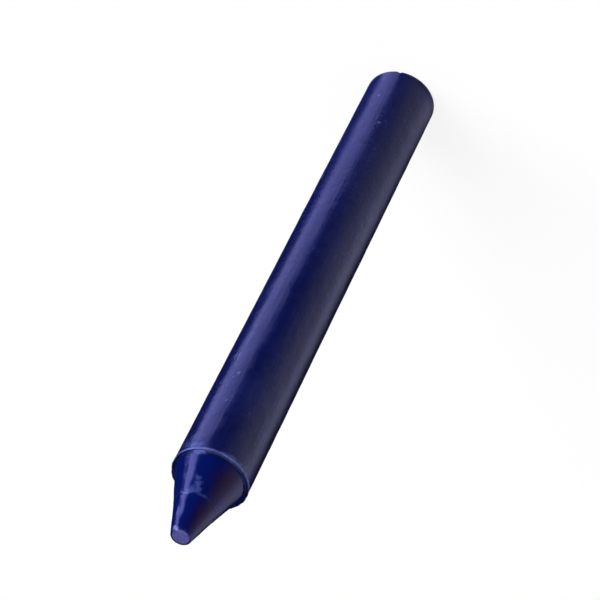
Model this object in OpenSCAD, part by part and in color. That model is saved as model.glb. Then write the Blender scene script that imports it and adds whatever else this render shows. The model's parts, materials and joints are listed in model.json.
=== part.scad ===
// Round moulded wax chalk stick, standing on its flat rear end with the point up.
// Origin: centre of the rear face. +Z runs along the stick towards the nose. Millimetres.

/* [Body] */
// Overall length, from the rear face to the nose
overall_len = 100; // [70:1:140]
// Diameter of the body
body_d = 11; // [9:0.5:18]
// Radius round the edge of the rear face
rear_round = 0.4; // [0.1:0.1:1]

/* [Shoulder] */
// Width of the flat ledge between the edge of the body and the root of the point
ledge_w = 0.45; // [0.2:0.05:1.2]
// Radius of the bead that the joint of the mould leaves round the shoulder
bead_r = 0.16; // [0.1:0.02:0.3]
// How far the bead stands out beyond the body
bead_proud = 0.1; // [0.02:0.02:0.2]

/* [Point] */
// Length of the point, from the shoulder to the nose
point_len = 11.6; // [9:0.2:20]
// Diameter of the nose, where the side of the point would meet its flat end
nose_d = 2.7; // [2:0.1:5]
// Radius round the edge of the nose
nose_round = 0.4; // [0.1:0.05:0.5]
// Distance from the shoulder to the witness ring, along the axis
ring_from_shoulder = 6; // [2:0.1:8]
// Radius of the witness ring's round section, half of which stands out of the point
ring_r = 0.07; // [0.04:0.01:0.15]

/* [Nick] */
// Radius of the ball that the nick in the rear edge is shaped by
nick_r = 0.5; // [0.3:0.05:1]
// Depth of the nick below the surface of the body
nick_depth = 0.35; // [0.1:0.05:0.8]
// Direction of the nick round the axis, in degrees from +X
nick_angle = -68; // [-180:1:180]

/* [Hidden] */
$fn = 96;

body_r = body_d / 2;
nose_r = nose_d / 2;
shoulder_z = overall_len - point_len;
point_root_r = body_r - ledge_w;

// Half angle of the point, between its side and the axis
point_angle = atan((point_root_r - nose_r) / point_len);

// Centre of the circle that rounds the nose. The circle touches the flat end and the side.
nose_round_z = overall_len - nose_round;
nose_round_x = nose_r - nose_round * (1 - sin(point_angle)) / cos(point_angle);

// Half section of the body, with a quarter round at the rear edge
module body_section() {
    square([body_r - rear_round, shoulder_z]);
    translate([0, rear_round])
        square([body_r, shoulder_z - rear_round]);
    translate([body_r - rear_round, rear_round])
        circle(r = rear_round);
}

// Half section of the point, from inside the body to the rounded nose
module point_section() {
    polygon([
        [0, rear_round],
        [point_root_r, rear_round],
        [point_root_r, shoulder_z],
        [nose_round_x + nose_round * cos(point_angle), nose_round_z + nose_round * sin(point_angle)],
        [nose_round_x, overall_len],
        [0, overall_len]
    ]);
    translate([nose_round_x, nose_round_z])
        circle(r = nose_round);
}

// Section of the bead round the shoulder, sunk into the edge of the body
module bead_section() {
    translate([body_r + bead_proud - bead_r, shoulder_z])
        circle(r = bead_r);
}

// Section of the witness ring, half sunk into the side of the point
module witness_ring_section() {
    translate([
        point_root_r - ring_from_shoulder * tan(point_angle),
        shoulder_z + ring_from_shoulder
    ])
        circle(r = ring_r);
}

// Small nick out of the rear edge
module rear_nick() {
    rotate([0, 0, nick_angle])
        translate([body_r - nick_depth + nick_r, 0, 0])
            sphere(r = nick_r);
}

// The whole stick, moulded in one piece
module chalk_stick() {
    color([0.11, 0.11, 0.40])
        difference() {
            rotate_extrude() {
                body_section();
                point_section();
                bead_section();
                witness_ring_section();
            }
            rear_nick();
        }
}

chalk_stick();
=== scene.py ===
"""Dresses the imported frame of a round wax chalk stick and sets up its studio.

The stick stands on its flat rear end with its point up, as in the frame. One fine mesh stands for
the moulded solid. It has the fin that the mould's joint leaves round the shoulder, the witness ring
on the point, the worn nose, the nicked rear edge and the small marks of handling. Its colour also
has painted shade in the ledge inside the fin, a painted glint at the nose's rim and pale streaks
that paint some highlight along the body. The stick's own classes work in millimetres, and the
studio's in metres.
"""

import json
import logging
import math
from collections.abc import Iterator
from dataclasses import dataclass
from enum import Enum
from typing import Any

import bpy
import numpy as np
from mathutils import Matrix, Vector


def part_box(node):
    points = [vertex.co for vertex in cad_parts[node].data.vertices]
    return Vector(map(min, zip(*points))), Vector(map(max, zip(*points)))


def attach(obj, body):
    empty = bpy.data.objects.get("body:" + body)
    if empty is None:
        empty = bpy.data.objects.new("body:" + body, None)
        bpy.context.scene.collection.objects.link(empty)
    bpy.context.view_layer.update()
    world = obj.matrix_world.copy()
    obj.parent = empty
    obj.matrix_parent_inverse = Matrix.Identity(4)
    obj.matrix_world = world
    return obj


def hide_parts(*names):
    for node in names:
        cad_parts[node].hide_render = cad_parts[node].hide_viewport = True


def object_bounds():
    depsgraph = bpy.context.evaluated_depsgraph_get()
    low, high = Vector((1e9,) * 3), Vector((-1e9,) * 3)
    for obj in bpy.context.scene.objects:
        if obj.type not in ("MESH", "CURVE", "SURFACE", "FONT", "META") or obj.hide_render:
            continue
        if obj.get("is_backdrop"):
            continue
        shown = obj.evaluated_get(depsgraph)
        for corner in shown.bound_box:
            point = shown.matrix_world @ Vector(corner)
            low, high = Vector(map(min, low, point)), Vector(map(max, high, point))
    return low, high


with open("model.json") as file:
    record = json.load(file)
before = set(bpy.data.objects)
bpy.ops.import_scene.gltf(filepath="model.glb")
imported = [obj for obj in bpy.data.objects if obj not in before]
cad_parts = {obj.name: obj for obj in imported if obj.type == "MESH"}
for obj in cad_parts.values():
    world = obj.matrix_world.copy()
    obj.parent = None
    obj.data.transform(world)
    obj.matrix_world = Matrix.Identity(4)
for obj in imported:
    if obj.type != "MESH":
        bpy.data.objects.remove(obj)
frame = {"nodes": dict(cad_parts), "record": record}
frame_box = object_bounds()

LOG = logging.getLogger("chalk_stick")
MM = 0.001
NODE = "chalk_stick"
BODY_MOUNT = "body"
# Heights closer than this count as one
SAME_MM = 0.01

Triple = tuple[float, float, float]
Colour = Triple
Span = tuple[float, float]
Step = tuple[Any, Any]
WHITE: Colour = (1.0, 1.0, 1.0)


# ---------------------------------------------------------------- shader maths


@dataclass(frozen=True)
class Cloud:
    """One cloudy noise.

    Attributes:
        per_mm: How many clouds there are in a millimetre.
        detail: How many finer layers it has.
        rough: How strong the finer layers are.
        drawn: A factor on the height. Below 1 it draws the clouds out along the stick.
    """

    per_mm: float
    detail: float = 2.0
    rough: float = 0.5
    drawn: float = 1.0


class Signal:
    """A shader value that Python's operators work on, each adding one Math node."""

    def __init__(self, bench: "Bench", socket: bpy.types.NodeSocket) -> None:
        """Wraps a socket.

        Args:
            bench: The node bench that the value belongs to.
            socket: The output socket that gives the value.
        """
        self.bench = bench
        self.socket = socket

    def _math(self, operation: str, first: Any, second: Any) -> "Signal":
        """One Math node on two values or numbers."""
        return self.bench.signal("ShaderNodeMath", {"operation": operation}, {0: first, 1: second})

    def __add__(self, other: Any) -> "Signal":
        """The sum."""
        return self._math("ADD", self, other)

    def __radd__(self, other: Any) -> "Signal":
        """The sum, with a number on the left."""
        return self._math("ADD", other, self)

    def __sub__(self, other: Any) -> "Signal":
        """The difference."""
        return self._math("SUBTRACT", self, other)

    def __rsub__(self, other: Any) -> "Signal":
        """The difference, with a number on the left."""
        return self._math("SUBTRACT", other, self)

    def __mul__(self, other: Any) -> "Signal":
        """The product."""
        return self._math("MULTIPLY", self, other)

    def __abs__(self) -> "Signal":
        """The value without its sign."""
        return self._math("ABSOLUTE", self, 0.0)

    def at_least(self, other: Any) -> "Signal":
        """The larger of this value and another."""
        return self._math("MAXIMUM", self, other)

    def root(self) -> "Signal":
        """The square root."""
        return self._math("SQRT", self, 0.0)

    def centred(self) -> "Signal":
        """Noise from 0 to 1, moved down to lie round 0."""
        return self - 0.5

    def rise(self, start: float, end: float, low: float = 0.0, high: float = 1.0) -> "Signal":
        """A smooth step.

        Args:
            start: The value at which the step starts.
            end: The value at which it ends. It may be below start.
            low: What the step gives before its start.
            high: What the step gives after its end.

        Returns:
            The stepped value, held at low and high outside the step.
        """
        settings = {"interpolation_type": "SMOOTHSTEP"}
        sockets = {"Value": self, "From Min": start, "From Max": end, "To Min": low, "To Max": high}
        return self.bench.signal("ShaderNodeMapRange", settings, sockets)


@dataclass(frozen=True)
class Ramp:
    """A smooth step with fixed ends.

    Attributes:
        start: The value at which the step starts.
        end: The value at which it ends. It may be below start.
        low: What the step gives before its start.
        high: What the step gives after its end.
    """

    start: float
    end: float
    low: float = 0.0
    high: float = 1.0

    def __call__(self, value: Signal, base: float = 0.0) -> Signal:
        """The step that a value has taken, with start and end counted from base."""
        return value.rise(base + self.start, base + self.end, self.low, self.high)


class Bench:
    """A material's or a world's node tree, and the one way that nodes are added to it."""

    def __init__(self, tree: bpy.types.NodeTree) -> None:
        """Empties a tree.

        Args:
            tree: The node tree to work on.
        """
        self.tree = tree
        tree.nodes.clear()

    def node(self, kind: str, settings: dict[str, Any], sockets: dict[Any, Any]) -> bpy.types.Node:
        """Adds a node.

        Args:
            kind: The node's type, such as ShaderNodeMath.
            settings: Its properties, which are set first.
            sockets: For each input, by name or by number, a value, a Signal or a socket to link.

        Returns:
            The new node.
        """
        made = self.tree.nodes.new(kind)
        for name, value in settings.items():
            setattr(made, name, value)
        for key, value in sockets.items():
            target = self.open_socket(made.inputs, key)
            source = value.socket if isinstance(value, Signal) else value
            if isinstance(source, bpy.types.NodeSocket):
                self.tree.links.new(source, target)
            else:
                target.default_value = source
        return made

    def signal(
        self,
        kind: str,
        settings: dict[str, Any],
        sockets: dict[Any, Any],
        output: Any = 0,
    ) -> Signal:
        """Adds a node and wraps one of its outputs.

        Args:
            kind: The node's type.
            settings: Its properties.
            sockets: Its inputs' values and links.
            output: The name or number of the output.

        Returns:
            The output as a value to work on.
        """
        made = self.node(kind, settings, sockets)
        return Signal(self, self.open_socket(made.outputs, output))

    @staticmethod
    def open_socket(sockets: Any, key: Any) -> bpy.types.NodeSocket:
        """Finds a socket.

        Args:
            sockets: A node's inputs or outputs.
            key: The socket's number, or the name of the one in use.

        Returns:
            The socket.
        """
        if isinstance(key, int):
            return sockets[key]
        return next(s for s in sockets if s.name == key and s.enabled)

    def blend(self, share: Any, first: Any, second: Any) -> bpy.types.NodeSocket:
        """Mixes two colours.

        Args:
            share: How much of the second colour there is, from 0 to 1.
            first: A colour or a colour socket.
            second: A colour or a colour socket.

        Returns:
            The mixed colour's socket.
        """
        colours = {"Factor": share, "A": opaque(first), "B": opaque(second)}
        made = self.node("ShaderNodeMix", {"data_type": "RGBA"}, colours)
        return self.open_socket(made.outputs, "Result")

    def noise(self, place: Any, cloud: Cloud) -> Signal:
        """Cloudy noise from 0 to 1.

        Args:
            place: The vector socket that it is read at, in millimetres.
            cloud: The noise's sizes.

        Returns:
            The noise value.
        """
        if cloud.drawn != 1.0:
            place = self.stretched(place, (1.0, 1.0, cloud.drawn))
        scale = {"Scale": cloud.per_mm, "Detail": cloud.detail, "Roughness": cloud.rough}
        return self.signal("ShaderNodeTexNoise", {}, {"Vector": place, **scale})

    def length(self, place: Any) -> Signal:
        """A vector's length."""
        return self.signal("ShaderNodeVectorMath", {"operation": "LENGTH"}, {0: place}, "Value")

    def stretched(self, place: Any, factors: Triple) -> bpy.types.NodeSocket:
        """A vector multiplied by a factor for each axis."""
        made = self.node("ShaderNodeVectorMath", {"operation": "MULTIPLY"}, {0: place, 1: factors})
        return made.outputs[0]


def opaque(colour: Any) -> Any:
    """A colour with its alpha of 1, or the socket that was given."""
    return (*colour, 1.0) if isinstance(colour, tuple) else colour


# ---------------------------------------------------------------- the stick's sizes


@dataclass(frozen=True)
class StickSizes:
    """The moulded solid's sizes in millimetres, measured on the frame.

    Attributes:
        length: The stick's length.
        body_r: The body's radius.
        bead_r: The largest radius, at the shoulder's bead.
        shoulder_z: The height of the shoulder's ledge.
        root_r: The point's radius at its root.
        nose_flat_r: The radius of the nose's flat.
    """

    length: float
    body_r: float
    bead_r: float
    shoulder_z: float
    root_r: float
    nose_flat_r: float

    @classmethod
    def measured(cls) -> "StickSizes":
        """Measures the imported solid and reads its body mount.

        Returns:
            The sizes.
        """
        low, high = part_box(NODE)
        points = np.array([v.co for v in frame["nodes"][NODE].data.vertices]) / MM
        radius = np.hypot(points[:, 0], points[:, 1])
        height = points[:, 2]
        mounts = {m["name"]: m for m in frame["record"]["mounts"]}
        body_r = mounts[BODY_MOUNT]["dims"]["r_mm"]
        top = height.max()
        on_point = (height > top / 2) & (radius < 0.99 * body_r)
        shoulder_z = height[on_point].min()
        on_ledge = np.abs(height - shoulder_z) < SAME_MM
        return cls(
            length=(high.z - low.z) / MM,
            body_r=body_r,
            bead_r=high.x / MM,
            shoulder_z=float(shoulder_z),
            root_r=float(radius[on_ledge & on_point].min()),
            nose_flat_r=float(radius[height > top - SAME_MM].max()),
        )

    def radius_at(self, height: float) -> float:
        """The radius that a mark lies at.

        Args:
            height: The mark's height.

        Returns:
            The body's radius, or the point's above the shoulder.
        """
        if height < self.shoulder_z:
            return self.body_r
        share = (height - self.shoulder_z) / (self.length - self.shoulder_z)
        return self.root_r + (self.nose_flat_r - self.root_r) * share


@dataclass(frozen=True)
class Mark:
    """A small lump or pit in the side, and how pale the wax is there.

    Attributes:
        angle: Direction round the axis, in degrees from +X.
        height: Height above the rear face, in millimetres.
        across: Half width round the stick, in millimetres.
        along: Half length along the stick, in millimetres.
        lift: How far it stands out, in millimetres. A pit is below zero.
        pale: How far the wax is rubbed pale there, from 0 to 1.
    """

    angle: float
    height: float
    across: float
    along: float
    lift: float
    pale: float


# Each mark's angle, height, half width, half length, lift and paleness
SIDE_MARKS = (
    Mark(-53, 6.7, 0.20, 0.22, 0.03, 0.60),
    Mark(-76, 13.4, 0.22, 0.26, 0.05, 0.36),
    Mark(-81, 12.5, 0.30, 0.38, -0.14, 0.0),
    Mark(-74, 14.4, 0.14, 0.20, -0.04, 0.0),
    Mark(-88, 19.6, 0.18, 0.22, 0.03, 0.25),
    Mark(-14, 16.7, 0.26, 0.32, 0.05, 0.55),
    Mark(-16, 26.0, 0.24, 0.46, 0.04, 0.45),
    Mark(-42, 69.2, 0.16, 1.00, 0.030, 0.50),
    Mark(-57, 72.8, 0.22, 0.28, 0.05, 0.60),
    Mark(-52, 73.6, 0.16, 0.20, 0.03, 0.35),
    Mark(-60, 78.6, 0.18, 0.22, 0.04, 0.45),
    Mark(-47, 75.4, 0.14, 0.26, 0.03, 0.35),
    Mark(-80, 71.4, 0.30, 0.22, -0.03, 0.0),
    Mark(-128, 34.5, 0.22, 0.45, -0.035, 0.0),
    Mark(40, 52.0, 0.26, 0.34, 0.04, 0.45),
    Mark(112, 23.5, 0.22, 0.30, -0.04, 0.0),
    Mark(150, 66.0, 0.24, 0.40, 0.035, 0.40),
)
# The same for scuffs and rubs, whose edges are torn, for a painted glint and pale streaks that paint some
# highlight, and for a rise and a hollow of the point
SCUFFS_AND_GLINTS = (
    Mark(-108, 88.0, 1.50, 0.30, 0.010, 0.30),
    Mark(-138, 87.8, 1.20, 0.40, 0.0, 0.20),
    Mark(-46, 87.6, 1.00, 0.55, 0.01, 0.34),
    Mark(-28, 86.8, 0.80, 1.10, 0.0, 0.16),
    Mark(-57, 88.5, 0.95, 0.32, 0.0, 0.70),
    Mark(-67, 92.3, 0.45, 0.50, 0.008, 0.28),
    Mark(-71, 93.0, 0.50, 0.60, 0.012, 0.36),
    Mark(-77, 93.7, 0.50, 0.45, 0.010, 0.32),
    Mark(-64, 94.1, 1.00, 0.28, 0.0, 0.36),
    Mark(-88, 94.3, 0.70, 0.18, 0.0, 0.20),
    Mark(-12, 98.2, 0.80, 1.40, 0.05, 0.0),
    Mark(-70, 98.2, 0.80, 1.40, -0.05, 0.0),
    # Painted highlight: a pale patch at the nose's rim that stands for a glint of the window, not a rub
    Mark(-33, 99.7, 0.46, 0.32, 0.0, 0.90),
    # Pale streaks along the body's highlight band: partly rubbed haze, partly painted highlight that
    # brightens the band
    Mark(-50, 50.0, 0.28, 6.00, 0.0, 0.07),
    Mark(-44, 65.5, 0.30, 4.50, 0.0, 0.11),
    Mark(-41, 79.5, 0.40, 6.50, 0.0, 0.10),
    Mark(-97, 75.5, 1.70, 4.20, 0.0, 0.035),
    Mark(74, 88.0, 1.10, 0.40, 0.01, 0.40),
    Mark(20, 40.0, 1.20, 6.00, 0.0, 0.06),
    Mark(165, 93.0, 0.60, 0.90, 0.012, 0.30),
)
# The same for the reddish stains, whose last number is their strength
STAINS = (
    Mark(-128, 91.0, 2.15, 2.60, 0.0, 0.85),
    Mark(-130, 96.3, 1.50, 3.20, 0.0, 0.80),
)


# ---------------------------------------------------------------- the wax


@dataclass(frozen=True)
class Place:
    """The shaded point's position, in millimetres.

    Attributes:
        bench: The material's bench.
        vector: The position.
        depth: Its Y.
        height: Its height.
        radius: Its distance from the axis.
    """

    bench: Bench
    vector: bpy.types.NodeSocket
    depth: Signal
    height: Signal
    radius: Signal

    @classmethod
    def on(cls, bench: Bench) -> "Place":
        """Reads the position from the piece's own coordinates.

        Args:
            bench: The material's bench.

        Returns:
            The position.
        """
        corner = bench.node("ShaderNodeTexCoord", {}, {}).outputs["Object"]
        vector = bench.stretched(corner, (1 / MM, 1 / MM, 1 / MM))
        axes = bench.node("ShaderNodeSeparateXYZ", {}, {0: vector})
        across, depth, height = (Signal(bench, axes.outputs[i]) for i in range(3))
        return cls(bench, vector, depth, height, (across * across + depth * depth).root())


@dataclass(frozen=True)
class Wear:
    """Where the wax is rubbed or marked, where a glint and highlight streaks are painted pale, and where
    shade is painted in the ledge. Ramps on heights and radii are in millimetres.

    Attributes:
        fin_drop: How far below the shoulder the middle of the rubbed fin lies.
        fin_band: How the rubbing fades above and below that.
        fin_wander: How far its edge wanders.
        fin_outside: Where it starts, counted from the body's radius.
        fin_patches: How patchy it is.
        patchy: The noise for those patches.
        nose_face: How the worn face ends, counted from the nose's flat.
        nose_tilt: How much more the nose is worn on the side below zero.
        nose_wander: How far the face's edge wanders.
        nose_top: How the wear starts below the nose.
        nose_worn: How strongly the face is worn.
        ring_band: How the rubbing fades on both sides of the witness ring.
        ring_breaks: Where it is broken off.
        ring_level: Its strength.
        dust_per_mm: How close together the specks of dust are.
        dust_size: How a speck fades.
        dust_level: How pale the specks are.
        torn: The noise that tears the scuffs' edges.
        torn_wander: How far it does so.
        edge_wander: How far the edges of other marks wander.
        mark_edge: How a mark fades, where 1 is its own size.
        ledge_above: Where the ledge's painted shade starts, counted from the shoulder.
        ledge_below: Where it ends on the point.
        ledge_inside: Where it starts inside the fin, counted from the body's radius.
    """

    fin_drop: float = 0.10
    fin_band: Ramp = Ramp(0.32, 0.10)
    fin_wander: float = 0.24
    fin_outside: Ramp = Ramp(-0.11, -0.01)
    fin_patches: Ramp = Ramp(0.32, 0.60, 0.42, 1.0)
    patchy: Cloud = Cloud(0.55, detail=3.0, rough=0.7)
    nose_face: Ramp = Ramp(0.26, -0.06)
    nose_tilt: float = 0.13
    nose_wander: float = 0.30
    nose_top: Ramp = Ramp(-0.80, -0.50)
    nose_worn: Ramp = Ramp(0.30, 0.70, 0.38, 0.74)
    ring_band: Ramp = Ramp(0.14, 0.03)
    ring_breaks: Ramp = Ramp(0.35, 0.65)
    ring_level: float = 0.10
    dust_per_mm: float = 0.42
    dust_size: Ramp = Ramp(0.060, 0.030)
    dust_level: float = 0.35
    torn: Cloud = Cloud(1.0, rough=0.6)
    torn_wander: float = 4.0
    edge_wander: float = 1.2
    mark_edge: Ramp = Ramp(1.6, 0.3)
    ledge_above: Ramp = Ramp(-0.12, -0.04)
    ledge_below: Ramp = Ramp(0.50, 0.12)
    ledge_inside: Ramp = Ramp(-0.03, -0.11)

    def rubbed_and_glint(self, at: Place, sizes: StickSizes, ring_z: float, fine: Signal) -> Signal:
        """How far the wax is rubbed pale, on the fin, the nose, the ring and the marks, with the painted
        glint and the painted highlight streaks.

        Args:
            at: The shaded point's position.
            sizes: The stick's sizes.
            ring_z: The witness ring's height.
            fine: Fine noise, which breaks up the edges.

        Returns:
            The share, from 0 to 1.
        """
        from_fin = abs(at.height - (sizes.shoulder_z - self.fin_drop))
        near_fin = self.fin_band(from_fin + fine.centred() * self.fin_wander)
        patches = self.fin_patches(at.bench.noise(at.vector, self.patchy))
        fin = near_fin * self.fin_outside(at.radius, sizes.body_r) * patches
        face = at.radius + at.depth * self.nose_tilt + fine.centred() * self.nose_wander
        nose = self.nose_face(face, sizes.nose_flat_r) * self.nose_top(at.height, sizes.length)
        ring = self.ring_band(abs(at.height - ring_z)) * self.ring_breaks(fine)
        total = fin.at_least(nose * self.nose_worn(fine)).at_least(ring * self.ring_level)
        total = total.at_least(self.dust(at) * self.dust_level)
        torn = at.bench.noise(at.vector, self.torn)
        kinds = ((SIDE_MARKS, fine, self.edge_wander), (SCUFFS_AND_GLINTS, torn, self.torn_wander))
        for marks, noise, wander in kinds:
            for mark in marks:
                if mark.pale > 0:
                    total = total.at_least(self.patch(at, mark, sizes, noise, wander))
        return total

    def dust(self, at: Place) -> Signal:
        """A few small pale specks, scattered over the whole surface."""
        sockets = {"Vector": at.vector, "Scale": self.dust_per_mm}
        return self.dust_size(at.bench.signal("ShaderNodeTexVoronoi", {}, sockets, "Distance"))

    def recess(self, at: Place, sizes: StickSizes) -> Signal:
        """Where shade is painted in the ledge between the fin and the root of the point.

        Args:
            at: The shaded point's position.
            sizes: The stick's sizes.

        Returns:
            The share, from 0 to 1.
        """
        above = self.ledge_above(at.height, sizes.shoulder_z)
        below = self.ledge_below(at.height, sizes.shoulder_z)
        return above * below * self.ledge_inside(at.radius, sizes.body_r)

    def stained(self, at: Place, mark: Mark, sizes: StickSizes, fine: Signal) -> Signal:
        """The spot of one stain, from 0 to the stain's own share."""
        return self.patch(at, mark, sizes, fine, self.edge_wander)

    def patch(self, at: Place, mark: Mark, sizes: StickSizes, noise: Signal, wander: float) -> Signal:
        """The spot of one mark.

        Args:
            at: The shaded point's position.
            mark: The mark.
            sizes: The stick's sizes, which give the radius that the mark lies at.
            noise: The noise that breaks up the spot's edge.
            wander: How far it does so.

        Returns:
            How strong the spot is, from 0 to the mark's own share.
        """
        turn = math.radians(mark.angle)
        reach = sizes.radius_at(mark.height)
        centre = (reach * math.cos(turn), reach * math.sin(turn), mark.height)
        shrink = (1 / mark.across, 1 / mark.across, 1 / mark.along)
        apart = at.bench.node("ShaderNodeVectorMath", {"operation": "SUBTRACT"}, {0: at.vector, 1: centre})
        even = at.bench.stretched(apart.outputs[0], shrink)
        distance = at.bench.length(even)
        return self.mark_edge(distance + noise.centred() * wander) * mark.pale


@dataclass(frozen=True)
class Spot:
    """What the wax is like at the shaded point. All but at are shares or noises from 0 to 1.

    Attributes:
        at: The point's position.
        clouds: Broad noise.
        streaks: Noise drawn out along the stick.
        mottle: Noise of about a millimetre.
        fine: Fine noise.
        grain: The finest noise.
        on_point: How far the point's finish holds.
        rubbed_and_glint: How far the wax is rubbed pale, with the painted glint and highlight streaks.
        shut: How far it lies in the ledge inside the fin, where shade is painted.
    """

    at: Place
    clouds: Signal
    streaks: Signal
    mottle: Signal
    fine: Signal
    grain: Signal
    on_point: Signal
    rubbed_and_glint: Signal
    shut: Signal


@dataclass(frozen=True)
class WaxFinish:
    """Pigmented wax: deep blue, satin on the body and glossier on the point, pale where it is rubbed, with
    painted shade in the ledge and a painted glint at the nose.

    Attributes:
        pigment: The body's colour where it is lightest.
        dense: The body's colour where it is darkest.
        point: The point's colour.
        bloom: The colour of rubbed wax, which the pale streaks along the body's highlight also take.
        nose_bloom_and_glint: The colour of the worn nose and of the painted glint at its rim.
        ledge_painted_shade: The painted shade in the ledge inside the fin.
        stain: The reddish colour of the point's stains.
        sheen_tint: The gloss's tint.
        refraction: The wax's index of refraction.
        body_rough: The body's roughness.
        hazy_rough: The roughness of the hazy lower body.
        rear_rough: What the last of the body adds to it.
        point_rough: The point's roughness.
        rubbed_rough: The roughness of rubbed wax.
        crevice_rough: The roughness in the ledge.
        satin_noise: How far the fine noise, the clouds and the mottle change the body's roughness.
        gloss_noise: How far the fine noise changes the point's.
        clouds: Broad changes of colour and gloss.
        streaks: Drag lines along the stick.
        mottle: Patches about a millimetre across.
        fine: Fine mottling.
        grain: The finest grain.
        shade_shares: How much the clouds, the streaks and the mottle change the colour.
        shade: How that turns from dark to light.
        haze_streaks: Which streaks are hazy.
        haze_fine: Where the fine noise lets the haze show.
        haze_level: The haze's strength.
        hazy_heights: The heights over which the lower body turns hazy.
        hazy_wander: How far clouds move those heights.
        nose_end: The heights over which the nose's bloom takes over, counted from the nose.
        point_edge: The heights over which the point's finish takes over, counted from the shoulder.
        ledge_shade_level: How strongly the ledge's painted shade shows.
        relief: The heights of the streaks, the mottle, the fine noise and the grain.
        point_calm: How much of that relief the point lacks.
        rubbed_relief: How much the fine noise stands out where the wax is rubbed.
        wear: Where the wax is worn.
    """

    pigment: Colour = (0.0021, 0.0064, 0.092)
    dense: Colour = (0.0012, 0.0040, 0.068)
    point: Colour = (0.0003, 0.0060, 0.106)
    bloom: Colour = (0.100, 0.148, 0.500)
    nose_bloom_and_glint: Colour = (0.180, 0.172, 0.520)
    ledge_painted_shade: Colour = (0.0002, 0.0036, 0.056)
    stain: Colour = (0.0140, 0.0014, 0.0225)
    sheen_tint: Colour = (0.75, 0.76, 1.0)
    refraction: float = 1.5
    body_rough: float = 0.215
    hazy_rough: float = 0.30
    rear_rough: Ramp = Ramp(14.0, 0.0, 0.0, 0.05)
    point_rough: float = 0.13
    rubbed_rough: float = 0.50
    crevice_rough: float = 0.32
    satin_noise: Triple = (0.18, 0.12, 0.16)
    gloss_noise: float = 0.08
    clouds: Cloud = Cloud(0.16, detail=3.0)
    streaks: Cloud = Cloud(1.1, detail=3.0, rough=0.6, drawn=0.07)
    mottle: Cloud = Cloud(0.9, detail=3.0, rough=0.6)
    fine: Cloud = Cloud(2.6, detail=3.0, rough=0.65)
    grain: Cloud = Cloud(7.0, rough=0.6)
    shade_shares: Triple = (0.35, 0.25, 0.4)
    shade: Ramp = Ramp(0.38, 0.62)
    haze_streaks: Ramp = Ramp(0.50, 0.78)
    haze_fine: Ramp = Ramp(0.40, 0.75)
    haze_level: float = 0.13
    hazy_heights: Ramp = Ramp(36.0, 26.0)
    hazy_wander: float = 16.0
    nose_end: Ramp = Ramp(-1.2, -0.6)
    point_edge: Ramp = Ramp(-0.02, 0.06)
    ledge_shade_level: float = 0.95
    relief: tuple[float, float, float, float] = (0.018, 0.054, 0.027, 0.003)
    point_calm: float = 0.6
    rubbed_relief: float = 0.03
    wear: Wear = Wear()

    def material(self, sizes: StickSizes, ring_z: float) -> bpy.types.Material:
        """Builds the wax's material.

        Args:
            sizes: The stick's sizes, which place the shoulder and the nose.
            ring_z: The witness ring's height, in millimetres.

        Returns:
            The material.
        """
        made = bpy.data.materials.new("blue_wax")
        made.use_nodes = True
        bench = Bench(made.node_tree)
        spot = self.spot(bench, sizes, ring_z)
        relief = {"Strength": 1.0, "Distance": MM, "Height": self.rise(spot)}
        sockets = {
            "Base Color": self.colour(spot, sizes),
            "Roughness": self.roughness(spot),
            "IOR": self.refraction,
            "Specular Tint": opaque(self.sheen_tint),
            "Normal": bench.node("ShaderNodeBump", {}, relief).outputs[0],
        }
        wax = bench.node("ShaderNodeBsdfPrincipled", {}, sockets)
        bench.node("ShaderNodeOutputMaterial", {}, {"Surface": wax.outputs[0]})
        return made

    def spot(self, bench: Bench, sizes: StickSizes, ring_z: float) -> Spot:
        """Reads what the wax is like at the shaded point.

        Args:
            bench: The material's bench.
            sizes: The stick's sizes.
            ring_z: The witness ring's height, in millimetres.

        Returns:
            The noises and shares that the finish is made of.
        """
        at = Place.on(bench)
        kinds = (self.clouds, self.streaks, self.mottle, self.fine, self.grain)
        clouds, streaks, mottle, fine, grain = (bench.noise(at.vector, kind) for kind in kinds)
        on_point = self.point_edge(at.height, sizes.shoulder_z)
        rubbed_and_glint = self.wear.rubbed_and_glint(at, sizes, ring_z, fine)
        # Where shade is painted in the ledge, except where the wax is rubbed pale
        shut = self.wear.recess(at, sizes) * (1 - rubbed_and_glint)
        return Spot(at, clouds, streaks, mottle, fine, grain, on_point, rubbed_and_glint, shut)

    def colour(self, spot: Spot, sizes: StickSizes) -> bpy.types.NodeSocket:
        """The wax's colour: pigment, stains, haze and bloom, the painted glint and highlight streaks, and
        the painted shade of the ledge.

        Args:
            spot: What the wax is like there.
            sizes: The stick's sizes, which place the nose and the stains.

        Returns:
            The colour's socket.
        """
        bench, at = spot.at.bench, spot.at
        broad, drawn, patches = self.shade_shares
        shade = self.shade(spot.clouds * broad + spot.streaks * drawn + spot.mottle * patches)
        body = bench.blend(shade, self.dense, self.pigment)
        colour = bench.blend(spot.on_point, body, self.point)
        for mark in STAINS:
            colour = bench.blend(self.wear.stained(at, mark, sizes, spot.fine), colour, self.stain)
        haze = self.haze_streaks(spot.streaks) * self.haze_fine(spot.fine)
        haze = haze * (1 - spot.on_point) * self.haze_level
        pale = bench.blend(self.nose_end(at.height, sizes.length), self.bloom, self.nose_bloom_and_glint)
        colour = bench.blend(haze + spot.rubbed_and_glint, colour, pale)
        # Painted shade: the ledge inside the fin and the root of the point are darkened in the colour
        return bench.blend(spot.shut * self.ledge_shade_level, colour, self.ledge_painted_shade)

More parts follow.
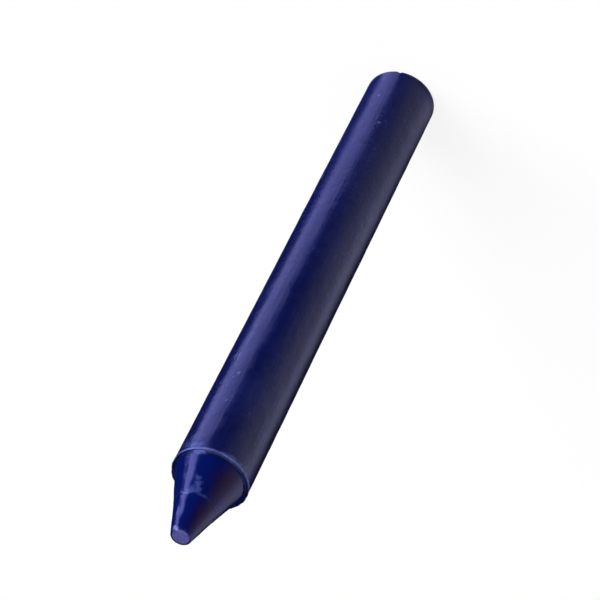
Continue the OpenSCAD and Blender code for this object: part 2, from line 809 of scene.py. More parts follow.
    def roughness(self, spot: Spot) -> Signal:
        """The wax's roughness: satin on the body, glossy on the point, matt where it is rubbed.

        Args:
            spot: What the wax is like there.

        Returns:
            The roughness.
        """
        hazy = self.hazy_heights(spot.at.height + spot.clouds.centred() * self.hazy_wander)
        satin = self.body_rough + hazy * (self.hazy_rough - self.body_rough)
        satin = satin + self.rear_rough(spot.at.height)
        for noise, share in zip((spot.fine, spot.clouds, spot.mottle), self.satin_noise):
            satin = satin + noise.centred() * share
        gloss = self.point_rough + spot.fine.centred() * self.gloss_noise
        rough = satin * (1 - spot.on_point) + gloss * spot.on_point
        rough = rough * (1 - spot.rubbed_and_glint) + spot.rubbed_and_glint * self.rubbed_rough
        return rough * (1 - spot.shut) + spot.shut * self.crevice_rough

    def rise(self, spot: Spot) -> Signal:
        """The height of the wax's fine relief.

        Args:
            spot: What the wax is like there.

        Returns:
            The height, in millimetres.
        """
        noises = (spot.streaks, spot.mottle, spot.fine, spot.grain)
        total = sum(noise * height for noise, height in zip(noises, self.relief))
        total = total * (1 - spot.on_point * self.point_calm)
        return total + spot.rubbed_and_glint * spot.fine * self.rubbed_relief


# ---------------------------------------------------------------- the stick's mesh


@dataclass(frozen=True)
class Ripples:
    """A smooth random relief round and along the stick, the same on each run.

    Attributes:
        seed: What starts its random numbers.
        height_mm: Its usual height.
        around: The fewest and the most lobes of a wave round the stick.
        along: The fewest and the most cycles of a wave along it.
        waves: How many waves it sums.
    """

    seed: int
    height_mm: float
    around: tuple[int, int]
    along: tuple[float, float]
    waves: int = 24

    def over(self, turn: np.ndarray, height: np.ndarray, length: float) -> np.ndarray:
        """The relief at some places.

        Args:
            turn: Angles round the axis, in radians.
            height: Heights, in millimetres.
            length: The stick's length, in millimetres.

        Returns:
            How far the surface stands out, in millimetres, up to about twice height_mm.
        """
        dice = np.random.default_rng(self.seed)
        total = np.zeros(np.broadcast(turn, height).shape)
        for _ in range(self.waves):
            lobes = dice.integers(self.around[0], self.around[1] + 1)
            cycles = dice.uniform(*self.along) * dice.choice((-1, 1))
            start = dice.uniform(0, 2 * math.pi)
            total += np.cos(lobes * turn + 2 * math.pi * cycles * height / length + start)
        return total * self.height_mm / math.sqrt(self.waves / 2)


MOULD_WAVES = Ripples(11, 0.012, (1, 3), (0.3, 3.0), waves=10)
DRAG_LINES = Ripples(12, 0.0022, (18, 60), (0.0, 2.5), waves=40)
BODY_LUMPS = Ripples(13, 0.0065, (3, 13), (4.0, 24.0), waves=48)
POINT_LUMPS = Ripples(14, 0.006, (2, 9), (5.0, 40.0), waves=24)
NOSE_PITS = Ripples(15, 0.012, (1, 7), (0.0, 0.0), waves=16)
FIN_RAGGED = Ripples(31, 0.22, (5, 40), (0.0, 0.0))
FIN_SLOW = Ripples(32, 0.20, (1, 4), (0.0, 0.0), waves=5)

# The fin's outer section: shares of its reach, millimetres below the shoulder, shares of its rise
FIN_OUTSIDE = (
    (0.05, -0.28, 0.0),
    (0.20, -0.20, 0.0),
    (0.46, -0.13, 0.0),
    (0.76, -0.07, 0.0),
    (0.95, -0.03, 0.0),
    (1.00, 0.0, 0.25),
    (0.85, 0.0, 0.60),
    (0.50, 0.0, 0.88),
    (0.05, 0.0, 1.0),
)
# Its inner section: millimetres inside the body's radius, shares of its rise, shares of the groove
FIN_INSIDE = ((0.04, 0.94, 0), (0.07, 0.74, 0), (0.10, 0.42, 0), (0.13, 0.10, 0.3), (0.18, 0, 1))
# The rings of the two flat ends, as shares of their radii
REAR_RINGS = (0.08, 0.25, 0.45, 0.65, 0.82, 0.93)
NOSE_RINGS = (0.88, 0.72, 0.55, 0.38, 0.22, 0.08)


@dataclass(frozen=True)
class FinReach:
    """How unevenly the fin reaches one way, in shares of its usual reach.

    Attributes:
        usual: The middle share.
        ragged: How much the ragged relief changes it.
        slow: How much the slow one does.
        least: The least share.
        most: The greatest one.
    """

    usual: float
    ragged: float
    slow: float
    least: float
    most: float

    def shares(self, ragged: np.ndarray, slow: np.ndarray) -> np.ndarray:
        """The shares where the two reliefs have some values."""
        uneven = self.usual + ragged * self.ragged + slow * self.slow
        return np.clip(uneven, self.least, self.most)


@dataclass(frozen=True)
class Fineness:
    """How finely the stick's mesh is divided. Reaches and steps are in millimetres.

    Attributes:
        columns: How many even steps it takes round the axis.
        nick_columns: How many more it takes at the nick.
        nick_spread: How far those reach to either side, in degrees.
        body_rows: How many rows the body has.
        rear_rows: How many more it has above the rear edge.
        rear_reach: How far those reach.
        fin_rows: How many more it has below the fin.
        fin_reach: How far those reach.
        mark_rows: How many more it has at each mark.
        mark_reach: How far those reach to either side, in half lengths of the mark.
        least_step: The least step between the body's rows.
        edge_rows: How many rows a rounded edge has.
        fillet_rows: How many the fillet at the root of the point has.
        side_start: How far above the fillet the rows of the point's side start.
        side_rows: How many those are.
        ring_rows: How many more there are at the witness ring.
        ring_reach: How far those reach to either side.
    """

    columns: int = 224
    nick_columns: int = 20
    nick_spread: float = 7.0
    body_rows: int = 150
    rear_rows: int = 9
    rear_reach: float = 1.2
    fin_rows: int = 7
    fin_reach: float = 1.0
    mark_rows: int = 9
    mark_reach: float = 2.0
    least_step: float = 0.03
    edge_rows: int = 9
    fillet_rows: int = 5
    side_start: float = 0.05
    side_rows: int = 40
    ring_rows: int = 19
    ring_reach: float = 0.45


@dataclass
class ChalkStick:
    """The moulded stick: body, shoulder with its fin, point, nose and rear end, in millimetres.

    Attributes:
        sizes: The solid's sizes.
        finish: The wax.
        fineness: How finely its mesh is divided.
        rear_round: The rear edge's radius.
        nose_round: The nose edge's radius.
        nose_fuller: How much wider the nose's face is than the solid's.
        nose_dome: How far the nose is crowned.
        nose_wear: How far below the nose its wear starts, and is at its full depth.
        nose_pits: The greatest depth of the pits in the nose's face.
        waist: How far the witness ring lies inside a straight taper.
        body_calm: How far from the rear face and the shoulder the body's relief starts.
        body_fade: Over what length it grows.
        point_calm: How far from the shoulder and the nose the point's relief starts.
        point_fade: Over what length it grows.
        fin_foot: How far below the shoulder the fin starts.
        fin_rise: The fin's usual height.
        fin_out: How unevenly it stands out.
        fin_up: How unevenly it stands up.
        root_fillet: The radius at the root of the point.
        groove: The depth of the groove inside the fin.
        ring_up: The witness ring's height above the shoulder.
        ring_h: How far the ring stands out.
        ring_w: The ring's half width.
        tip_step: How much the point steps in above the ring.
        tip_step_h: Over what height it does so.
        tip_step_fade: Over what height the step ends below the nose.
        nick_angle: The nick's direction, in degrees from +X.
        nick_r: The radius of the ball that the nick is pressed with.
        nick_depth: How deep the ball goes.
        nick_heart: How far inside the edge the wax is pressed towards.
    """

    sizes: StickSizes
    finish: WaxFinish
    fineness: Fineness = Fineness()
    rear_round: float = 0.4
    nose_round: float = 0.30
    nose_fuller: float = 0.10
    nose_dome: float = 0.02
    nose_wear: Span = (1.2, 0.5)
    nose_pits: float = 0.03
    waist: float = 0.12
    body_calm: Span = (0.2, 0.5)
    body_fade: float = 1.5
    point_calm: Span = (0.6, 0.6)
    point_fade: float = 1.0
    fin_foot: float = 0.45
    fin_rise: float = 0.13
    fin_out: FinReach = FinReach(0.62, ragged=0.8, slow=1.0, least=0.10, most=0.98)
    fin_up: FinReach = FinReach(0.70, ragged=1.3, slow=0.6, least=0.10, most=1.50)
    root_fillet: float = 0.12
    groove: float = 0.06
    ring_up: float = 6.0
    ring_h: float = 0.022
    ring_w: float = 0.13
    tip_step: float = 0.02
    tip_step_h: float = 0.12
    tip_step_fade: float = 3.0
    nick_angle: float = -68.0
    nick_r: float = 0.5
    nick_depth: float = 0.35
    nick_heart: float = 1.2

    @property
    def ring_z(self) -> float:
        """The witness ring's height."""
        return self.sizes.shoulder_z + self.ring_up

    @property
    def nose_face_r(self) -> float:
        """The radius of the nose's flat face."""
        return self.sizes.nose_flat_r + self.nose_fuller

    @property
    def side_lean(self) -> float:
        """The lean of the point's side.

        Returns:
            The angle between the side and the axis, in radians.
        """
        s = self.sizes
        run = s.length - s.shoulder_z
        lean = math.atan((s.root_r - self.nose_face_r) / run)
        for _ in range(4):
            rim = self.nose_face_r + self.nose_round * (1 - math.sin(lean)) / math.cos(lean)
            lean = math.atan((s.root_r - rim) / run)
        return lean

    def turns(self) -> np.ndarray:
        """The columns' directions, closer together at the nick.

        Returns:
            Angles round the axis, in radians.
        """
        steps = self.fineness
        even = np.linspace(-math.pi, math.pi, steps.columns, endpoint=False)
        spread = math.radians(steps.nick_spread)
        extra = math.radians(self.nick_angle) + np.linspace(-spread, spread, steps.nick_columns)
        return np.unique(np.concatenate([even, extra]).round(6))

    def body_heights(self) -> np.ndarray:
        """The heights of the body's rows, closer together at both ends and at the marks.

        Returns:
            The heights, from the rear edge to the fin's foot.
        """
        steps = self.fineness
        low = self.rear_round
        high = self.sizes.shoulder_z - self.fin_foot
        rows = [
            np.linspace(low, high, steps.body_rows),
            np.linspace(low, low + steps.rear_reach, steps.rear_rows),
            np.linspace(high - steps.fin_reach, high, steps.fin_rows),
        ]
        for mark in SIDE_MARKS:
            reach = steps.mark_reach * mark.along
            rows.append(mark.height + np.linspace(-reach, reach, steps.mark_rows))
        heights = np.unique(np.concatenate(rows).round(3))
        keep = np.concatenate([[True], np.diff(heights) > steps.least_step])
        return heights[keep]

    def side_heights(self, start: float, end: float) -> np.ndarray:
        """The heights of the rows of the point's side, closer together at the witness ring.

        Args:
            start: Where the side starts, above the fillet at its root.
            end: Where the rounding of the nose starts.

        Returns:
            The heights.
        """
        steps = self.fineness
        near_ring = self.ring_z + np.linspace(-steps.ring_reach, steps.ring_reach, steps.ring_rows)
        even = np.linspace(start + steps.side_start, end, steps.side_rows)
        return np.unique(np.concatenate([even, near_ring]).round(3))

    def side_radius(self, height: float, end: float) -> float:
        """The radius of the point's side, which has two tapers that meet at the witness ring.

        Args:
            height: A height on the side.
            end: Where the rounding of the nose starts.

        Returns:
            The radius there, with the ring and the small step above it.
        """
        s = self.sizes
        below = (height - s.shoulder_z) / self.ring_up
        above = (s.length - height) / (s.length - self.ring_z)
        straight = s.root_r - (height - s.shoulder_z) * math.tan(self.side_lean)
        step_in = self.tip_step * np.clip((height - self.ring_z) / self.tip_step_h, 0, 1)
        step_in *= np.clip((end - height) / self.tip_step_fade, 0, 1)
        ring = self.ring_h * math.exp(-(((height - self.ring_z) / self.ring_w) ** 2))
        return straight - self.waist * min(below, above) - step_in + ring

    def fin_size(self, turn: np.ndarray) -> tuple[np.ndarray, np.ndarray]:
        """The fin's uneven shape round the shoulder.

        Args:
            turn: The columns' angles.

        Returns:
            For each column, how far the fin stands out and how far it stands up.
        """
        room = self.sizes.bead_r - self.sizes.body_r
        ragged = FIN_RAGGED.over(turn, np.zeros_like(turn), 1.0)
        slow = FIN_SLOW.over(turn, np.zeros_like(turn), 1.0)
        return room * self.fin_out.shares(ragged, slow), self.fin_rise * self.fin_up.shares(ragged, slow)

    def body_section(self) -> Iterator[Step]:
        """The steps of the section over the rear face, its edge and the body.

        Yields:
            The radius and the height of each step.
        """
        s = self.sizes
        for share in REAR_RINGS:
            yield share * (s.body_r - self.rear_round), 0.0
        for turn in np.linspace(0, math.pi / 2, self.fineness.edge_rows):
            inward = self.rear_round * (1 - math.sin(turn))
            yield s.body_r - inward, self.rear_round * (1 - math.cos(turn))
        for height in self.body_heights()[1:]:
            yield s.body_r, height

    def fin_section(self, out: np.ndarray, up: np.ndarray) -> Iterator[Step]:
        """The steps of the section over the fin and into the groove inside it.

        Args:
            out: How far the fin stands out in each column.
            up: How far it stands up.

        Yields:
            The radii and the heights of each step.
        """
        s = self.sizes
        for reach, below, above in FIN_OUTSIDE:
            yield s.body_r + out * reach, s.shoulder_z + below + up * above
        for inward, above, sunk in FIN_INSIDE:
            yield s.body_r - inward, s.shoulder_z + up * above - self.groove * sunk

    def point_section(self) -> Iterator[Step]:
        """The steps of the section over the fillet, the point's side and the nose.

        Yields:
            The radius and the height of each step.
        """
        s = self.sizes
        steps = self.fineness
        fillet = self.root_fillet
        lean = self.side_lean
        for turn in np.linspace(0, math.pi / 2 - lean, steps.fillet_rows):
            height = s.shoulder_z - self.groove + fillet * (1 - math.cos(turn))
            yield s.root_r + fillet * (1 - math.sin(turn)), height
        rounding_z = s.length - self.nose_round
        end = rounding_z + self.nose_round * math.sin(lean)
        for height in self.side_heights(s.shoulder_z + fillet, end):
            yield self.side_radius(height, end), height
        for turn in np.linspace(lean, math.pi / 2, steps.edge_rows)[1:]:
            height = rounding_z + self.nose_round * math.sin(turn)
            yield self.nose_face_r + self.nose_round * math.cos(turn), height
        for share in NOSE_RINGS:
            yield share * self.nose_face_r, s.length

    def rows(self, turn: np.ndarray) -> tuple[np.ndarray, np.ndarray]:
        """The plain section of each column, from near the rear face's centre to near the nose's.

        Args:
            turn: The columns' angles.

        Returns:
            Radii and heights, each with a row for each step of the section and a column for each angle.
        """
        fin = self.fin_section(*self.fin_size(turn))
        steps = [*self.body_section(), *fin, *self.point_section()]
        radii = np.array([np.broadcast_to(radius, turn.shape) for radius, _ in steps])
        heights = np.array([np.broadcast_to(height, turn.shape) for _, height in steps])
        return radii, heights

    @staticmethod
    def between(height: np.ndarray, low: float, high: float, fade: float) -> np.ndarray:
        """A share that grows from 0 to 1 inside two heights.

        Args:
            height: The heights that it is wanted at.
            low: The lower of the two heights.
            high: The upper one.
            fade: The length over which it grows from each.

        Returns:
            The share at each height.
        """
        return np.clip((height - low) / fade, 0, 1) * np.clip((high - height) / fade, 0, 1)

    def relief(self, turn: np.ndarray, radius: np.ndarray, height: np.ndarray) -> np.ndarray:
        """How far the side stands out of its plain section: mould waves, drag lines and marks.

        Args:
            turn: Angles round the axis.
            radius: The plain radii.
            height: The plain heights.

        Returns:
            The relief, in millimetres.
        """
        s = self.sizes
        low, high = self.body_calm
        on_body = self.between(height, low, s.shoulder_z - high, self.body_fade)
        low, high = self.point_calm
        on_point = self.between(height, s.shoulder_z + low, s.length - high, self.point_fade)
        kinds = (MOULD_WAVES, DRAG_LINES, BODY_LUMPS)
        total = on_body * sum(kind.over(turn, height, s.length) for kind in kinds)
        total += on_point * POINT_LUMPS.over(turn, height, s.length)
        for mark in SIDE_MARKS + SCUFFS_AND_GLINTS:
            apart = (turn - math.radians(mark.angle) + math.pi) % (2 * math.pi) - math.pi
            spot = (radius * apart / mark.across) ** 2 + ((height - mark.height) / mark.along) ** 2
            total += mark.lift * np.exp(-spot)
        return total

    def nicked(self, points: np.ndarray) -> np.ndarray:
        """Presses the nick's ball into the rear edge.

        Args:
            points: The mesh's points, in millimetres.

        Returns:
            The points, with those inside the ball moved inwards on to its surface.
        """
        turn = math.radians(self.nick_angle)
        reach = self.sizes.body_r - self.nick_depth + self.nick_r
        ball = np.array([reach * math.cos(turn), reach * math.sin(turn), 0.0])
        inner = np.array([math.cos(turn), math.sin(turn), 0.0]) * (self.sizes.body_r - self.nick_heart)
        inner[2] = self.nick_heart
        inwards = inner - points
        inwards /= np.linalg.norm(inwards, axis=-1, keepdims=True)
        offset = points - ball
        along = (offset * inwards).sum(-1)
        inside = (offset**2).sum(-1) - self.nick_r**2
        travel = -along + np.sqrt(np.maximum(along**2 - inside, 0))
        moved = points + inwards * travel[..., None]
        return np.where((inside < 0)[..., None], moved, points)

    def mesh(self) -> bpy.types.Mesh:
        """Builds the stick's mesh.

        Returns:
            A closed mesh in metres.
        """
        turn = self.turns()
        radius, height = self.rows(turn)
        grid = np.broadcast_to(turn, radius.shape)
        radius = radius + self.relief(grid, radius, height)
        from_centre = np.clip(radius / self.nose_face_r, 0, 1)
        start, full = self.nose_wear
        near_nose = np.clip((height - self.sizes.length + start) / (start - full), 0, 1)
        ring = 4 * from_centre * (1 - from_centre)
        pits = np.clip(NOSE_PITS.over(grid, height, 1.0), 0, self.nose_pits) * ring
        height = height - near_nose * (self.nose_dome * from_centre**2 + pits)
        points = np.stack([radius * np.cos(grid), radius * np.sin(grid), height], axis=-1)
        points = self.nicked(points)
        row_count, column_count = radius.shape
        ends = np.array([[0.0, 0.0, 0.0], [0.0, 0.0, points[-1, :, 2].mean()]])
        vertices = np.concatenate([points.reshape(-1, 3), ends]) * MM
        here = np.arange(column_count)
        ahead = (here + 1) % column_count
        faces: list[tuple[int, ...]] = []
        for row in range(row_count - 1):
            low = row * column_count
            high = low + column_count
            faces.extend(zip(low + here, low + ahead, high + ahead, high + here))
        rear = row_count * column_count
        last = (row_count - 1) * column_count
        faces.extend((rear, int(b), int(a)) for a, b in zip(here, ahead))
        faces.extend((rear + 1, int(last + a), int(last + b)) for a, b in zip(here, ahead))
        made = bpy.data.meshes.new("moulded_wax")
        made.from_pydata(vertices.tolist(), [], [tuple(int(i) for i in face) for face in faces])
        made.validate()
        made.shade_smooth()
        return made

    def build(self) -> bpy.types.Object:
        """Makes the stick's piece, dresses it and puts it in the frame.

        Returns:
            The piece.
        """
        mesh = self.mesh()
        mesh.materials.append(self.finish.material(self.sizes, self.ring_z))
        piece = bpy.data.objects.new("moulded_stick", mesh)
        bpy.context.scene.collection.objects.link(piece)
        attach(piece, "root")
        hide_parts(NODE)
        return piece


# ---------------------------------------------------------------- the studio


def toward(azimuth: float, elevation: float) -> Vector:
    """The direction from the stick to something round it.

    Args:
        azimuth: Degrees round the axis from +X.
        elevation: Degrees above the floor.

    Returns:
        A unit vector.
    """
    turn, rise = math.radians(azimuth), math.radians(elevation)
    return Vector((math.cos(turn) * math.cos(rise), math.sin(turn) * math.cos(rise), math.sin(rise)))


class Sees(Enum):
    """What kind of ray finds a stage piece."""

    CAMERA = "visible_camera"
    DIFFUSE = "visible_diffuse"
    GLOSSY = "visible_glossy"
    TRANSMISSION = "visible_transmission"
    SHADOW = "visible_shadow"


@dataclass(frozen=True)
class SoftLamp:
    """A wide, even lamp far away, such as a large softbox.

    Attributes:
        name: The lamp's name.
        azimuth: Its direction, in degrees from +X.
        elevation: Its height, in degrees above the floor.
        width: How wide it looks from the stick, in degrees.
        level: How light it makes a white surface that faces it, where 1 is white.
    """

    name: str
    azimuth: float
    elevation: float
    width: float
    level: float

    def build(self) -> bpy.types.Object:
        """Makes the lamp.

        Returns:
            The lamp's object.
        """
        lamp = bpy.data.lights.new(self.name, "SUN")
        lamp.energy = self.level * math.pi
        lamp.angle = math.radians(self.width)
        made = bpy.data.objects.new(self.name, lamp)
        bpy.context.scene.collection.objects.link(made)
        made.rotation_euler = toward(self.azimuth, self.elevation).to_track_quat("Z", "Y").to_euler()
        return made


@dataclass(frozen=True)
class MirrorBowl:
    """A low bowl of soft cards round the stick that only gloss finds, as a studio lays dark and light cards.

    It is dark in front and behind, has a cool window on the key lamp's side, and is pale on the other side.

    Attributes:
        lift: How far above the floor it lies, and outside the stick.
        reach: How far out the flat part goes.
        flare: How much further out the wall goes.
        wall: The wall's height.
        wall_steps: The shares of that height at which its rows lie.
        rings: How many steps the flat part takes.
        spokes: How many steps it takes round.
        heart: The place that the cards fan out from, by X and Y.
        dark: The dark cards' level, where 1 is white.
        pale: The pale side's level.
        pale_front: The azimuths over which the front turns from dark to pale, in degrees.
        pale_back: The azimuths over which the back does.
        far_out: The distances over which the near cards give way to the far ones.
        far_shift: How many degrees further round the front turns pale far out.
        far_shift_back: How many radians further round the back does.
        pale_out: How the pale side gains from the stick's foot outwards.
        cool_front: The azimuths over which the pale side turns cool, coming from the front.
        cool_back: The azimuths over which it does, coming from the back.
        cool_level: How strong the cool light is there.
        foot: The azimuths between which the front is less dark close to the stick's foot.
        foot_soft: How many degrees each of those edges takes to fade.
        foot_level: The level there.
        foot_in: How it gains from the foot outwards.
        foot_out: How it ends further out.
        skirt: How the pale cards start outside the foot.
        window: The window's two edges at the stick's foot.
        window_soft: How many degrees each of those edges takes to fade.
        swing: How many degrees the window swings round on its way out.
        swing_out: Where it does so.
        fall: The azimuths over which it gets brighter.
        fall_gain: How much brighter.
        near_level: The window's level close to the stick.
        near_out: How that gains on the way out.
        far_window: Its edges far out.
        far_soft: How many degrees each of those takes to fade.
        far_lag: How many degrees each of those falls back on its way out.
        first_lag: Where the first one does.
        second_lag: Where the second one does.
        wall_out: How much brighter the window gets towards the wall.
        far_level: Its level far out.
        far_tint: The cards' colour far out. Close to the stick they are neutral.
        window_colour: The window's colour.
    """

    lift: float = 0.05 * MM
    reach: float = 0.9
    flare: float = 0.1
    wall: float = 1.9
    wall_steps: tuple[float, ...] = (0.06, 0.3, 0.65, 1.0)
    rings: int = 20
    spokes: int = 97
    heart: Span = (1.0 * MM, -4.0 * MM)
    dark: float = 0.01
    pale: float = 0.57
    pale_front: Span = (-69.0, -159.0)
    pale_back: Span = (134.0, 174.0)
    far_out: Ramp = Ramp(0.11, 0.19)
    far_shift: float = 24.0
    far_shift_back: float = 0.30
    pale_out: Ramp = Ramp(0.004, 0.045, 0.76, 1.0)
    cool_front: Span = (-160.0, -180.0)
    cool_back: Span = (150.0, 166.0)
    cool_level: float = 0.38
    foot: Span = (-106.0, -44.0)
    foot_soft: Span = (24.0, 24.0)
    foot_level: float = 0.12
    foot_in: Ramp = Ramp(0.004, 0.022, 0.25, 1.0)
    foot_out: Ramp = Ramp(0.045, 0.020)
    skirt: Ramp = Ramp(0.0057, 0.0068)
    window: Span = (-47.5, 9.5)
    window_soft: Span = (9.0, 6.0)
    swing: float = 6.0
    swing_out: Ramp = Ramp(0.015, 0.095)
    fall: Span = (-34.0, 2.0)
    fall_gain: float = 1.3
    near_level: float = 1.80
    near_out: Ramp = Ramp(0.055, 0.085, 1.0, 1.18)
    far_window: Span = (-17.0, 13.0)
    far_soft: Span = (12.0, 7.0)
    far_lag: Span = (10.0, 15.0)
    first_lag: Ramp = Ramp(0.30, 0.44)
    second_lag: Ramp = Ramp(0.26, 0.32)
    wall_out: Ramp = Ramp(0.60, 0.88, 1.0, 2.2)
    far_level: float = 4.9
    far_tint: Colour = (1.0, 0.92, 1.2)
    window_colour: Colour = (0.46, 0.47, 1.0)

    def build(self) -> bpy.types.Object:
        """Makes the bowl.

        Returns:
            The stage piece.
        """
        inner = frame_radius() + self.lift
        flat = inner * (self.reach / inner) ** np.linspace(0, 1, self.rings)
        profile = [(float(r), self.lift) for r in flat]
        profile += [(self.reach + self.flare, self.wall * share) for share in self.wall_steps]
        turns = np.radians(np.linspace(-180, 180, self.spokes))
        corners = [(r * math.cos(t), r * math.sin(t), z) for r, z in profile for t in turns]
        count = len(turns)
        faces = [
            (a, a + 1, a + count + 1, a + count)
            for row in range(len(profile) - 1)
            for a in range(row * count, row * count + count - 1)
        ]
        mesh = bpy.data.meshes.new("mirror_bowl")
        mesh.from_pydata(corners, [], faces)
        mesh.materials.append(self.material())
        return staged(mesh, {Sees.GLOSSY})

    @staticmethod
    def band(azimuth: Signal, edges: Span, soft: Span) -> Signal:
        """A soft-edged band of azimuths.

        Args:
            azimuth: The azimuth, in radians.
            edges: The band's two edges, in degrees.
            soft: How many degrees each edge takes to fade.

        Returns:
            1 inside the band and 0 outside it.
        """
        low, high = (math.radians(edge) for edge in edges)
        low_half, high_half = (math.radians(width) / 2 for width in soft)
        started = azimuth.rise(low - low_half, low + low_half)
        return started * azimuth.rise(high + high_half, high - high_half)

    @staticmethod
    def turned_past(azimuth: Signal, edges: Span) -> Signal:
        """A soft step from 0 to 1 between two azimuths, given in degrees."""
        return azimuth.rise(*(math.radians(edge) for edge in edges))

    def pale_side(self, azimuth: Signal, radius: Signal, far: Signal) -> Signal:
        """The share of the pale side's cards.

        Args:
            azimuth: The direction on the bowl, in radians.
            radius: The distance from the bowl's heart.
            far: How far the cards are the far ones.

        Returns:
            1 on the pale side and 0 on the dark one.
        """
        front = self.turned_past(azimuth + far * math.radians(self.far_shift), self.pale_front)
        back = self.turned_past(azimuth + far * self.far_shift_back, self.pale_back)
        return front.at_least(back) * self.pale_out(radius)

    def foot_light(self, azimuth: Signal, radius: Signal) -> Signal:
        """The faint light in front of the stick's foot.

        Args:
            azimuth: The direction on the bowl, in radians.
            radius: The distance from the bowl's heart.

        Returns:
            The level.
        """
        level = self.band(azimuth, self.foot, self.foot_soft) * self.foot_out(radius)
        return level * self.foot_level * self.foot_in(radius)

    def near_window(self, azimuth: Signal, radius: Signal) -> Signal:
        """The window close to the stick.

        Args:
            azimuth: The direction on the bowl, in radians.
            radius: The distance from the bowl's heart.

        Returns:
            The level.
        """
        swung = azimuth - self.swing_out(radius) * math.radians(self.swing)
        fall = swung.rise(*(math.radians(edge) for edge in self.fall), 1.0, self.fall_gain)
        level = self.band(swung, self.window, self.window_soft) * fall * self.near_level
        return level * self.near_out(radius)

    def distant_window(self, azimuth: Signal, radius: Signal) -> Signal:
        """The window far out.

        Args:
            azimuth: The direction on the bowl, in radians.
            radius: The distance from the bowl's heart.

        Returns:
            The level.
        """
        low, high = self.far_window
        low_half, high_half = (width / 2 for width in self.far_soft)
        first = azimuth + self.first_lag(radius) * math.radians(self.far_lag[0])
        second = azimuth + self.second_lag(radius) * math.radians(self.far_lag[1])
        started = self.turned_past(first, (low - low_half, low + low_half))
        level = started * self.turned_past(second, (high + high_half, high - high_half))
        return level * self.far_level * self.wall_out(radius)

    def material(self) -> bpy.types.Material:
        """The bowl's glow.

        Returns:
            A material of pale and dark cards and a cool window.
        """
        made = bpy.data.materials.new("soft_cards")
        made.use_nodes = True
        bench = Bench(made.node_tree)
        place = bench.node("ShaderNodeTexCoord", {}, {}).outputs["Object"]
        axes = bench.node("ShaderNodeSeparateXYZ", {}, {0: place})
        east, north = (Signal(bench, axes.outputs[i]) - self.heart[i] for i in range(2))
        azimuth = bench.signal("ShaderNodeMath", {"operation": "ARCTAN2"}, {0: north, 1: east})
        radius = (east * east + north * north).root()
        far = self.far_out(radius)
        side = self.pale_side(azimuth, radius, far)
        foot = self.foot_light(azimuth, radius)
        pale = (side * (self.pale - self.dark) + foot) * self.skirt(bench.length(place)) + self.dark
        near, distant = self.near_window(azimuth, radius), self.distant_window(azimuth, radius)
        cool = self.turned_past(azimuth, self.cool_front)
        cool = cool.at_least(self.turned_past(azimuth, self.cool_back)) * self.cool_level
        window = near * (1 - far) + distant * far + side * cool

        tint = bench.blend(far, WHITE, self.far_tint)
        cards = bench.node("ShaderNodeEmission", {}, {"Color": tint, "Strength": pale})
        sockets = {"Color": opaque(self.window_colour), "Strength": window}
        glow = bench.node("ShaderNodeEmission", {}, sockets)
        both = bench.node("ShaderNodeAddShader", {}, {0: cards.outputs[0], 1: glow.outputs[0]})
        bench.node("ShaderNodeOutputMaterial", {}, {"Surface": both.outputs[0]})
        return made


def frame_radius() -> float:
    """The largest radius of the frame's solid."""
    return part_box(NODE)[1].x


def staged(mesh: bpy.types.Mesh, seen_by: set[Sees]) -> bpy.types.Object:
    """Puts a mesh on the stage.

    Args:
        mesh: The mesh.
        seen_by: The kinds of ray that find it.

    Returns:
        The stage piece.
    """
    made = bpy.data.objects.new(mesh.name, mesh)
    bpy.context.scene.collection.objects.link(made)
    for kind in Sees:
        setattr(made, kind.value, kind in seen_by)
    made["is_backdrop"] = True
    return made


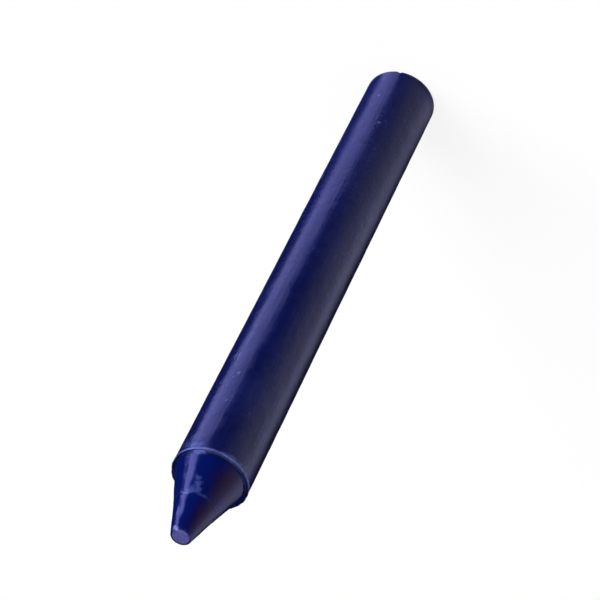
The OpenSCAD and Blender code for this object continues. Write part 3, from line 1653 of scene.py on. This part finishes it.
@dataclass(frozen=True)
class Studio:
    """A plain white floor, soft lamps, and the cards that the wax mirrors.

    Attributes:
        floor_half: Half the floor's width.
        floor_colour: The floor's paint.
        floor_glow: How much of what the camera sees of the floor is its own white.
        floor_white: That white's level.
        room_level: The level of the room's light on other surfaces, where 1 is white.
        lamps: The soft lamps.
        bowl: The cards.
    """

    floor_half: float = 12.0
    floor_colour: Colour = (0.97, 0.97, 0.97)
    floor_glow: float = 0.8
    floor_white: float = 1.06
    room_level: float = 0.04
    lamps: tuple[SoftLamp, ...] = (
        SoftLamp("key_softbox", azimuth=-21, elevation=30, width=50, level=0.80),
        SoftLamp("top_softbox", azimuth=-60, elevation=82, width=70, level=0.36),
    )
    bowl: MirrorBowl = MirrorBowl()

    def build(self) -> None:
        """Makes the floor, the lamps, the bowl of cards and the white room behind them."""
        self.floor()
        self.room()
        for lamp in self.lamps:
            lamp.build()
        self.bowl.build()

    @staticmethod
    def seen(bench: Bench) -> Signal:
        """Tells whether a ray comes from the camera, a mirror or glass.

        Args:
            bench: The bench of the material or the world.

        Returns:
            1 for such a ray and 0 for others.
        """
        path = bench.node("ShaderNodeLightPath", {}, {})
        share = Signal(bench, path.outputs["Is Camera Ray"])
        for kind in ("Is Glossy Ray", "Is Transmission Ray"):
            share = share.at_least(path.outputs[kind])
        return share

    def floor(self) -> bpy.types.Object:
        """Makes the white floor, which keeps a faint shadow.

        Returns:
            The stage piece.
        """
        half = self.floor_half
        mesh = bpy.data.meshes.new("floor")
        square = [(-half, -half, 0), (half, -half, 0), (half, half, 0), (-half, half, 0)]
        mesh.from_pydata(square, [], [(0, 1, 2, 3)])
        made = bpy.data.materials.new("white_floor")
        made.use_nodes = True
        bench = Bench(made.node_tree)
        paint = bench.node("ShaderNodeBsdfDiffuse", {}, {"Color": opaque(self.floor_colour)})
        white = bench.node("ShaderNodeEmission", {}, {"Strength": self.floor_white})
        sockets = {0: self.seen(bench) * self.floor_glow, 1: paint.outputs[0], 2: white.outputs[0]}
        both = bench.node("ShaderNodeMixShader", {}, sockets)
        bench.node("ShaderNodeOutputMaterial", {}, {"Surface": both.outputs[0]})
        mesh.materials.append(made)
        return staged(mesh, set(Sees))

    def room(self) -> None:
        """Makes the world: white where it is seen or mirrored, and a dim even light elsewhere."""
        world = bpy.data.worlds.new("room")
        bpy.context.scene.world = world
        world.use_nodes = True
        bench = Bench(world.node_tree)
        level = self.seen(bench) * (1 - self.room_level) + self.room_level
        light = bench.node("ShaderNodeBackground", {}, {"Color": opaque(WHITE), "Strength": level})
        bench.node("ShaderNodeOutputWorld", {}, {"Surface": light.outputs[0]})


@dataclass(frozen=True)
class Viewpoint:
    """The camera. It looks down at the stick's front, and is turned to put the point at lower left.

    Attributes:
        elevation: Degrees above the floor.
        distance: Distance from the stick's middle.
        turned: Degrees that the camera is turned about its own line of sight.
        lens: The lens's focal length, in millimetres.
        clip: The nearest and the farthest distance that it sees.
    """

    elevation: float = 45.3
    distance: float = 0.4185
    turned: float = 153.3
    lens: float = 174.0
    clip: Span = (0.01, 100.0)

    def build(self) -> bpy.types.Object:
        """Makes the camera and gives it to the scene.

        Returns:
            The camera's object.
        """
        low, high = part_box(NODE)
        aim = (low + high) / 2
        back = toward(-90, self.elevation)
        data = bpy.data.cameras.new("camera")
        data.lens = self.lens
        data.clip_start, data.clip_end = self.clip
        made = bpy.data.objects.new("camera", data)
        bpy.context.scene.collection.objects.link(made)
        level = (-back).to_track_quat("-Z", "Y").to_matrix()
        roll = Matrix.Rotation(math.radians(-self.turned), 3, "Z")
        made.rotation_euler = (level @ roll).to_euler()
        made.location = aim + back * self.distance
        bpy.context.scene.camera = made
        return made


def corners(box: tuple[Vector, Vector]) -> list[list[float]]:
    """A box's two corners as plain lists."""
    return [list(corner) for corner in box]


def main() -> None:
    """Builds the stick, its studio and its camera, and reports each piece."""
    logging.basicConfig(level=logging.INFO, format="%(name)s: %(message)s")
    bpy.context.scene.view_settings.view_transform = "Standard"
    sizes = StickSizes.measured()
    LOG.info("frame: %s", sizes)
    stick = ChalkStick(sizes=sizes, finish=WaxFinish())
    piece = stick.build()
    LOG.info("%s: %d faces", piece.name, len(piece.data.polygons))
    Studio().build()
    Viewpoint().build()
    {"frame": corners(frame_box), "visual": corners(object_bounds())}


if __name__ == "__main__":
    main()
